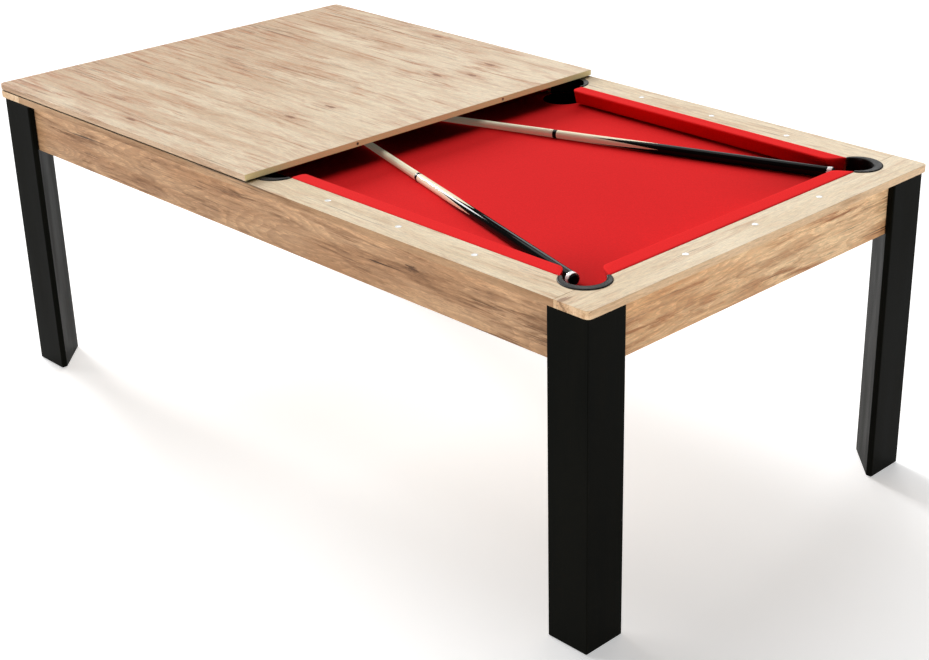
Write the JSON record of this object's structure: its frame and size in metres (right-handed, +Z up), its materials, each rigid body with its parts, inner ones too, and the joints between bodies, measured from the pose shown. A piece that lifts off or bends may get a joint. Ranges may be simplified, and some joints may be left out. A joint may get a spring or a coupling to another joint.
{
  "type": "pool table",
  "caption": "Pool table with light oak rails, red cloth, drop pockets and black corner legs, half covered by a lift-off dining top, with cues lying on the bed.",
  "frame": {"origin": "on the floor, under the middle of the table", "axes": "+X along the table towards the open end, +Y across it, +Z up"},
  "size_m": [2.13, 1.162, 0.806],
  "materials": {
    "oak": "light oak board, satin",
    "dark_oak": "weathered oak board, satin",
    "bed": "raw fibreboard",
    "cloth": "red billiard cloth, matte",
    "felt": "grey felt",
    "black_lacquer": "black lacquer, satin",
    "black_plastic": "moulded, matte",
    "steel": "zinc plated",
    "maple": "clear lacquer",
    "white_plastic": "gloss",
    "black_rubber": "matte",
    "cue_leather": "chalked leather"
  },
  "bodies": {
    "table": {"long_rail_back": "oak", "long_rail_front": "oak", "end_rail_right": "oak", "end_rail_left": "oak", "apron_back": "dark_oak", "apron_front": "dark_oak", "apron_right": "dark_oak", "apron_left": "dark_oak", "bed_board": "bed", "cross_beam_right": "bed", "cross_beam_left": "bed", "bed_cloth": "cloth", "cushion_front_right": "cloth", "cushion_front_left": "cloth", "cushion_back_left": "cloth", "cushion_back_right": "cloth", "cushion_end_right": "cloth", "cushion_end_left": "cloth", "pocket_rim_back_right": "black_plastic", "pocket_cup_back_right": "black_plastic", "pocket_rim_back_left": "black_plastic", "pocket_cup_back_left": "black_plastic", "pocket_rim_front_left": "black_plastic", "pocket_cup_front_left": "black_plastic", "pocket_rim_front_right": "black_plastic", "pocket_cup_front_right": "black_plastic", "pocket_rim_back_middle": "black_plastic", "pocket_cup_back_middle": "black_plastic", "pocket_rim_front_middle": "black_plastic", "pocket_cup_front_middle": "black_plastic", "leg_back_right": "black_lacquer", "bracket_back_right": "steel", "leg_back_left": "black_lacquer", "bracket_back_left": "steel", "leg_front_left": "black_lacquer", "bracket_front_left": "steel", "leg_front_right": "black_lacquer", "bracket_front_right": "steel"},
    "dining_top": {"dining_top": "oak", "felt_strip_back": "felt", "felt_strip_front": "felt"},
    "cue_1_butt": {"cue_1_bumper": "black_rubber", "cue_1_butt_ring": "white_plastic", "cue_1_butt": "maple", "cue_1_joint_collar": "black_rubber"},
    "cue_1_shaft": {"cue_1_shaft": "maple", "cue_1_ferrule": "white_plastic", "cue_1_tip": "cue_leather"},
    "cue_2_butt": {"cue_2_bumper": "black_rubber", "cue_2_butt_ring": "white_plastic", "cue_2_butt": "maple", "cue_2_joint_collar": "black_rubber"},
    "cue_2_shaft": {"cue_2_shaft": "maple", "cue_2_ferrule": "white_plastic", "cue_2_tip": "cue_leather"},
    "foot_back_right": {"foot_back_right": "black_plastic"},
    "foot_back_left": {"foot_back_left": "black_plastic"},
    "foot_front_left": {"foot_front_left": "black_plastic"},
    "foot_front_right": {"foot_front_right": "black_plastic"}
  },
  "joints": [
    {"name": "dining_top_lift", "type": "slide", "parent": "table", "child": "dining_top", "axis": [0, 0, 1], "range_m": [0, 0.3]},
    {"name": "cue_1_lift", "type": "slide", "parent": "table", "child": "cue_1_butt", "axis": [0, 0, 1], "range_m": [0, 0.15]},
    {"name": "cue_1_unscrew", "type": "slide", "parent": "cue_1_butt", "child": "cue_1_shaft", "axis": [-0.9578, 0.2874, -0.0052], "range_m": [0, 0.026]},
    {"name": "cue_2_lift", "type": "slide", "parent": "table", "child": "cue_2_butt", "axis": [0, 0, 1], "range_m": [0, 0.15]},
    {"name": "cue_2_unscrew", "type": "slide", "parent": "cue_2_butt", "child": "cue_2_shaft", "axis": [-0.9516, -0.3074, -0.0052], "range_m": [0, 0.026]},
    {"name": "foot_back_right_out", "type": "slide", "parent": "table", "child": "foot_back_right", "axis": [0, 0, -1], "range_m": [0, 0.012]},
    {"name": "foot_back_left_out", "type": "slide", "parent": "table", "child": "foot_back_left", "axis": [0, 0, -1], "range_m": [0, 0.012]},
    {"name": "foot_front_left_out", "type": "slide", "parent": "table", "child": "foot_front_left", "axis": [0, 0, -1], "range_m": [0, 0.012]},
    {"name": "foot_front_right_out", "type": "slide", "parent": "table", "child": "foot_front_right", "axis": [0, 0, -1], "range_m": [0, 0.012]}
  ],
  "couplings": [
    {"joint": "cue_1_lift", "follows": "dining_top_lift", "ratio": 0.5},
    {"joint": "cue_2_lift", "follows": "dining_top_lift", "ratio": 0.5}
  ]
}
